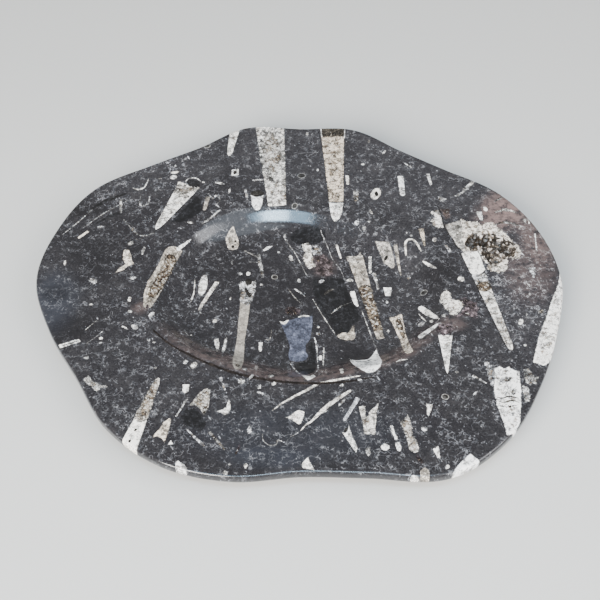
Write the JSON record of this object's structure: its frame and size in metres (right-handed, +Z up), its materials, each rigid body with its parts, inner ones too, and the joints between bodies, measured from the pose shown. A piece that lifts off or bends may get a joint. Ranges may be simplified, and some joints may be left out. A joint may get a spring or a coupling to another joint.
{
  "type": "orthoceras fossil plate",
  "caption": "Freeform platter of polished dark fossil limestone with pale orthoceras shells, a shallow basin, a wavy flat rim and a small crystal pocket; rests flat and holds small things.",
  "frame": {"origin": "on the surface the plate stands on, under the middle of its bounding box", "axes": "+Z up, square to the flat foot and the rim; +X along the plate's longest dimension, towards the crystal pocket's side; +Y along the shorter plan dimension"},
  "size_m": [0.4571, 0.3985, 0.032],
  "materials": {
    "fossil_limestone": "near-black to dark grey limestone with white, cream and tan fossil shells flush in it; polished on top and on the edge, honed matt underneath",
    "calcite": "off-white to brown calcite crystals, ground and polished level with the rim, rough and shaded brown inside the hollows"
  },
  "bodies": {
    "root": {"fossil_plate": "fossil_limestone", "calcite_crust": "calcite"}
  },
  "joints": []
}
